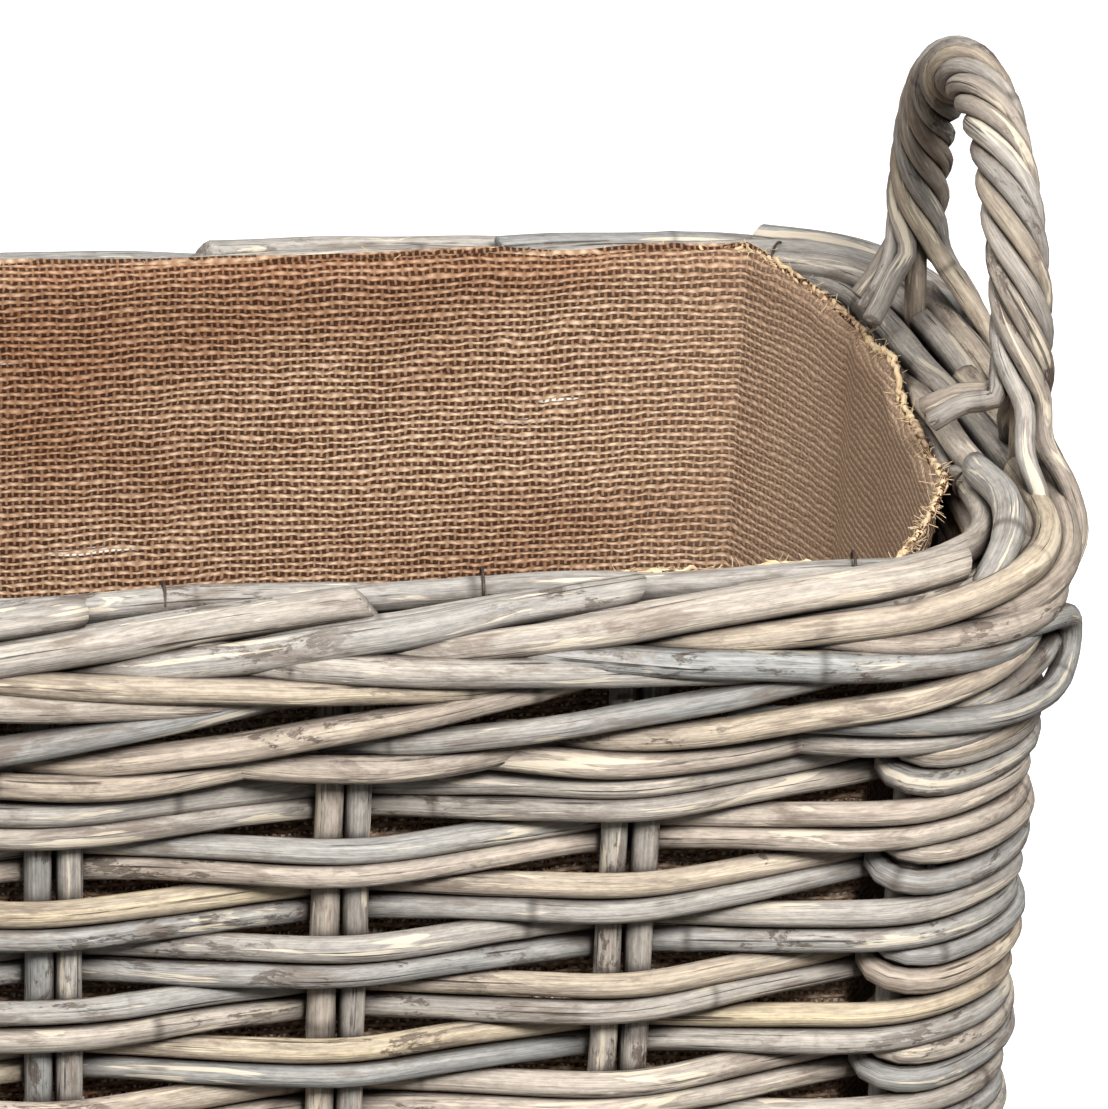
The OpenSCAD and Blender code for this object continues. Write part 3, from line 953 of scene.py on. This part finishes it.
def make_base_weavers():
    """Canes over and under the sticks, two and two alike."""
    canes = Canes("base_weaver_canes")
    low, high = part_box("base_weavers")
    lift = STICK_R + SMALL_R
    for i, x in enumerate(np.arange(low.x + SMALL_R, high.x, 2 * SMALL_R + 0.2 * MM)):
        way = 1 if i // 2 % 2 == 0 else -1
        rows = [(x, low.y, STICK_Z + way * 0.5 * lift)]
        for k, y in enumerate(STICK_LINES):
            z = STICK_Z + way * (1 if k % 2 == 0 else -1) * lift
            rows += [(x, y - 5 * MM, z), (x, y + 5 * MM, z)]
        rows.append((x, high.y, z))
        canes.tube(blurred(np.array(rows), 7 * MM, 6 * MM), SMALL_R, sides=8, shade=-0.4)
    canes.piece(weave_cane, "weave_cane", "base_weavers")


def make_base_hoop():
    """The closed cane round the base, just inside the uprights."""
    canes = Canes("base_hoop_cane")
    low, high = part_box("base_hoop")
    z = (low.z + high.z) / 2
    radius = (high.z - low.z) / 2 * 0.85
    rows = [(u, -12 * MM, z) for u in np.arange(0, PLACES + 0.3, 0.25)]
    canes.tube(wall_path(rows), radius, hue=0.5, shade=-0.3)
    canes.piece(stake_cane, "stake_cane", "base_hoop")


def make_foot_border():
    """The rolled border that the basket stands on: canes that dip under one another."""
    canes = Canes("foot_border_canes")
    low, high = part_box("foot_border")
    for start in range(PLACES):
        for sign, middle in ((1, 5 * MM), (-1, -6 * MM)):
            rows = [(start - 0.3, 0, high.z - SMALL_R),
                    (start + 0.2, middle - sign * MM, high.z - SMALL_R),
                    (start + 0.9, middle + sign * 2 * MM, 0.55 * high.z),
                    (start + 1.6, middle + sign * MM, low.z + SMALL_R),
                    (start + 2.1, middle - 3 * sign * MM, low.z + SMALL_R)]
            canes.tube(wall_path(rows, 12 * MM), SMALL_R, shade=-0.2)
    canes.piece(border_cane, "border_cane", "foot_border")


# ---- liner ----

liner_low, liner_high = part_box("liner_wall")
LINER_FOOT = liner_low.z
LINER_TOP = liner_high.z
LINER_OFF = -18.2 * MM
FRINGE = 2600
CREASE = -0.08
CORNER_SPAN = 1.2
TAUTNESS = 0.85
LINER_COLUMNS = 800
LINER_LEVELS = 110
GIRTH_LEVEL = 60  # the level that the cloth's length is taken at, about two thirds up


def ripple(place, height, seed, pitch, size):
    """Soft upright folds that wander a little as they go down."""
    random = np.random.default_rng(seed)
    total = np.zeros(np.broadcast(place, height).shape)
    for k in range(5):
        count = max(1, round(PLACES * pitch * (0.6 + 0.35 * k)))
        phase = random.uniform(0, 2 * pi)
        bend = random.uniform(-1.2, 1.2)
        total += np.sin(2 * pi * count * place / PLACES + phase + bend * height) / (1 + 0.6 * k)
    return size * total / 2.2


def loose_liner_point(place, share):
    """Points of the cloth if it followed the wall all round."""
    ends = 1 - np.minimum(along_side(place, 3, 3) + along_side(place, 13, 3), 1)
    drop = (-3.5 * along_side(place, 3, 3) + 4 * along_side(place, 13, 3)
            + 3 * along_side(place, 13.4, 1.2) + 4.5 * along_side(place, 5.05, 0.5)
            + 5 * along_side(place, 6.2, 0.25)) * MM
    height = LINER_FOOT + (LINER_TOP - LINER_FOOT) * share
    wave = ripple(place, 0, 5, 1.1, 1.0) * (1.2 + 3.2 * ends) * MM
    height = height + share ** 8 * (drop + wave)
    folds = ripple(place, 2 * share, 11, 0.5, 2.2 * MM) * (0.3 + 0.5 * share) * (0.6 + ends)
    folds = folds + ripple(place, 3 * share, 23, 2.2, 0.5 * MM)
    flare = (6 - 2.5 * ends) * MM * np.clip((share - 0.988) / 0.012, 0, 1) ** 1.5
    off = LINER_OFF - 1.2 * MM - np.abs(folds) * 0.7 + folds * 0.3 + flare
    return wall_at(place, off, height)


def liner_point(place, share):
    """Points of the cloth. share is 0 at its foot and 1 at its top edge. It is pulled straight
    across each corner, from a crease near the post to a place on the end wall."""
    place, share = np.broadcast_arrays(np.asarray(place, float), np.asarray(share, float))
    points = loose_liner_point(place, share)
    for post, way in ((FRONT_GAPS, 1), (HALF, -1), (HALF + FRONT_GAPS, 1), (PLACES, -1)):
        along = (way * ((place - post + HALF) % PLACES - HALF) - CREASE) / CORNER_SPAN
        start = loose_liner_point(np.full_like(place, post + way * CREASE), share)
        end = loose_liner_point(np.full_like(place, post + way * (CREASE + CORNER_SPAN)), share)
        inside = (along > 0) & (along < 1)
        taut = start + (end - start) * np.clip(along, 0, 1)[..., None]
        points = np.where(inside[..., None], points + TAUTNESS * (taut - points), points)
    return points


def grid_mesh(name, points):
    """A mesh of quads on a grid of points."""
    rows, columns = points.shape[:2]
    mesh = bpy.data.meshes.new(name)
    faces = []
    for i in range(rows - 1):
        here = i * columns
        after = here + columns
        faces += [[here + k, after + k, after + k + 1, here + k + 1] for k in range(columns - 1)]
    mesh.from_pydata(points.reshape(-1, 3).tolist(), [], faces)
    return mesh


def add_weave(mesh, along, upward, backlit=0, felted=0):
    """Where the threads run, in metres along and up, how much painted daylight shows in the holes,
    and how far the threads are matted together."""
    zero = np.zeros_like(along)
    add_attribute(mesh, "weave", np.stack([along, upward, zero], axis=-1))
    add_attribute(mesh, "backlit", zero + backlit)
    add_attribute(mesh, "felted", zero + felted)


def make_liner_wall():
    """The cloth that lines the walls, held at its top edge."""
    place, share = np.meshgrid(np.linspace(0, PLACES, LINER_COLUMNS + 1),
                               1 - np.linspace(1, 0, LINER_LEVELS) ** 1.3, indexing="ij")
    points = liner_point(place, share)
    along = run_along(points[:, GIRTH_LEVEL])
    mesh = grid_mesh("liner_wall_cloth", points)
    steps = np.linalg.norm(np.diff(points, axis=1), axis=2)
    upward = np.concatenate([np.zeros((len(points), 1)), np.cumsum(steps, axis=1)], axis=1)
    ends = along_side(place, 8, 1.95) + along_side(place, 18, 1.95)
    add_weave(mesh, np.repeat(along, LINER_LEVELS), upward.ravel(),
              backlit=along_side(place, 3, 3.4).ravel(), felted=0.55 * ends.ravel())
    wall = finish_piece("liner_wall_cloth", mesh, hessian, ["liner_wall"])


def make_liner_base():
    """The cloth that lies on the base, with soft waves and slightly rounded corners."""
    across = np.linspace(-1, 1, 60)
    x, y = np.meshgrid(across, across, indexing="ij")
    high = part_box("liner_base")[1]
    round_off = 1 - 0.03 * (x * y) ** 2
    waves = 1.2 * MM * (np.sin(7 * x + 1) * np.cos(5 * y))
    points = np.stack([x * high.x * round_off, y * high.y * round_off, high.z + 1.5 * MM + waves],
                      axis=-1)
    mesh = grid_mesh("liner_base_cloth", points)
    add_weave(mesh, points[..., 0].ravel(), points[..., 1].ravel())
    base = finish_piece("liner_base_cloth", mesh, hessian, ["liner_base"])


# The hem's section: how far inward in mm, down in hem depths, and up in mm.
HEM_SECTION = [(0.9, 0, -0.8), (0.8, 0, 0.3), (0.3, 0, 1.0), (-0.4, 0, 1.1), (-1.3, 0, 0.5),
               (-1.8, -0.3, 0), (-1.9, -0.7, 0), (-1.9, -1.0, 0)]


def make_hem():
    """The top edge, folded over to the outside of the liner wall."""
    low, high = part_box("liner_hem")
    depth = high.z - low.z
    place = np.linspace(0, PLACES, LINER_COLUMNS + 1)
    top = liner_point(place, np.ones_like(place))
    inward = unit(wall_at(place, 0, LINER_TOP) - wall_at(place, 1 * MM, LINER_TOP))
    down = depth * (1 + 0.1 * ripple(place, 0, 31, 3.6, 1.0))
    lines = []
    for into, drop, lift in HEM_SECTION:
        line = liner_point(place, 1 + drop * down / (LINER_TOP - LINER_FOOT))
        line[:, 2] = top[:, 2] + drop * down + lift * MM
        lines.append(line + into * MM * inward)
    points = np.stack(lines, axis=1)
    mesh = grid_mesh("liner_hem_fold", points)
    along = run_along(top)
    add_weave(mesh, np.repeat(along, len(HEM_SECTION)), points[..., 2].ravel())
    hem = finish_piece("liner_hem_fold", mesh, hessian, ["liner_hem"])
    make_fray(hem)


def make_fray(hem):
    """Loose threads along the hem, and short fibres that stand out of it. The back has fewer."""
    fibres = Canes("liner_hem_fray")
    random = fibres.random
    for start in np.arange(0, PLACES, 0.4):
        if along_side(start, HALF + 3, 3) > 0.5:
            continue
        u = np.linspace(start - 0.15, start + random.uniform(0.4, 0.7), 60)
        yarn = liner_point(u, np.ones_like(u))
        for axis in range(3):
            yarn[:, axis] += 0.8 * MM * ripple(u, 0, int(random.integers(1000)), 14.0, 1.0)
        yarn[:, 2] += random.uniform(-1.0, 1.0) * MM
        fibres.tube(yarn, random.uniform(0.5, 1.0) * MM, sides=6, jointed=False, wobble=0.3 * MM)
    u = random.uniform(0, PLACES, FRINGE)
    roots = liner_point(u, np.ones_like(u)) + random.normal(0, 0.6 * MM, (FRINGE, 3))
    side = unit(wall_at(u + 0.05, 0, LINER_TOP) - wall_at(u, 0, LINER_TOP))
    out = unit(wall_at(u, 1 * MM, LINER_TOP) - wall_at(u, 0, LINER_TOP))
    way = side * random.normal(0, 1.3, (FRINGE, 1)) + out * random.normal(-0.1, 0.6, (FRINGE, 1))
    way[:, 2] += random.uniform(-0.5, 0.5, FRINGE)
    way = unit(way)
    curl = random.normal(0, 0.7, (FRINGE, 3))
    length = random.uniform(1.2, 3.2, FRINGE) * MM
    t = np.linspace(0, 1, 6)[:, None]
    for i in np.flatnonzero(random.uniform(size=FRINGE) > 0.8 * along_side(u, HALF + 3, 3)):
        line = roots[i] + length[i] * (t * way[i] + 0.8 * t ** 2 * curl[i])
        fibres.tube(line, random.uniform(0.07, 0.16) * MM, sides=3, jointed=False, wobble=0)
    fray = fibres.piece(frayed, "hessian")
    fray.parent = hem


# ---- floor and light ----

SKY_LOW = 0.05
SKY_HIGH = 0.5
LIGHTS = [("key", (0.6, -2.5, 2.3), 0.8, 158), ("top", (-0.3, 0.5, 3.0), 1.6, 16),
          ("fill", (-2.2, -0.9, 1.9), 1.2, 38)]


FLOOR_REACH = 8


def make_floor():
    """A white floor that casts no light back on to the basket."""
    shader = Shader("floor", 0.8, 0.2)
    spot = shader.node("ShaderNodeTexCoord").outputs["Object"]
    cloud = shader.noise(spot, 2.0)
    pale = shader.ramp(cloud, [(0.3, srgb(244, 244, 244)), (0.7, srgb(248, 248, 248))])
    shader.surface.inputs["Emission Color"].default_value = (1, 1, 1, 1)
    shader.surface.inputs["Emission Strength"].default_value = 0.45
    floor_material = shader.finish(pale, cloud, 0.01 * MM)
    mesh = bpy.data.meshes.new("floor")
    corners = [(x * FLOOR_REACH, y * FLOOR_REACH, 0) for x, y in ((-1, -1), (1, -1), (1, 1), (-1, 1))]
    mesh.from_pydata(corners, [], [(0, 1, 2, 3)])
    mesh.materials.append(floor_material)
    floor = bpy.data.objects.new("floor", mesh)
    bpy.context.scene.collection.objects.link(floor)
    floor.visible_diffuse = False
    floor.visible_glossy = False


def make_sky():
    """Light that grows from below to above, and a plain white backdrop."""
    world = bpy.data.worlds.new("studio")
    world.use_nodes = True
    nodes = world.node_tree.nodes
    join = world.node_tree.links.new
    sky = nodes["Background"]
    sky.inputs["Strength"].default_value = 1.0
    backdrop = nodes.new("ShaderNodeBackground")
    backdrop.inputs["Color"].default_value = (1, 1, 1, 1)
    direction = nodes.new("ShaderNodeTexCoord").outputs["Generated"]
    height = nodes.new("ShaderNodeSeparateXYZ")
    join(direction, height.inputs[0])
    shade = nodes.new("ShaderNodeMapRange")
    for key, value in (("From Min", -0.3), ("From Max", 0.9),
                       ("To Min", SKY_LOW), ("To Max", SKY_HIGH)):
        shade.inputs[key].default_value = value
    join(height.outputs["Z"], shade.inputs["Value"])
    join(shade.outputs["Result"], sky.inputs["Color"])
    seen = nodes.new("ShaderNodeLightPath").outputs["Is Camera Ray"]
    choose = nodes.new("ShaderNodeMixShader")
    for socket, output in enumerate((seen, sky.outputs[0], backdrop.outputs[0])):
        join(output, choose.inputs[socket])
    join(choose.outputs[0], nodes["World Output"].inputs["Surface"])
    bpy.context.scene.world = world
    bpy.context.scene.view_settings.view_transform = "Standard"


def make_lights():
    """Square lamps, all aimed at the basket's middle."""
    for name, spot, size, power in LIGHTS:
        light = bpy.data.objects.new(name, bpy.data.lights.new(name, "AREA"))
        light.data.size = size
        light.data.energy = power
        light.location = spot
        light.rotation_euler = (Vector((0, 0, 0.3)) - Vector(spot)).to_track_quat("-Z", "Y").to_euler()
        bpy.context.scene.collection.objects.link(light)


make_uprights()
for row in range(1, ROWS + 1):
    weave_row(row)
make_bottom_wale()
make_top_wale()
for side_index in range(4):
    border_rods(side_index)
make_core_hoops()
make_ties()
make_handles()
make_base_sticks()
make_base_weavers()
make_base_hoop()
make_foot_border()
make_liner_wall()
make_liner_base()
make_hem()
make_floor()
make_sky()
make_lights()
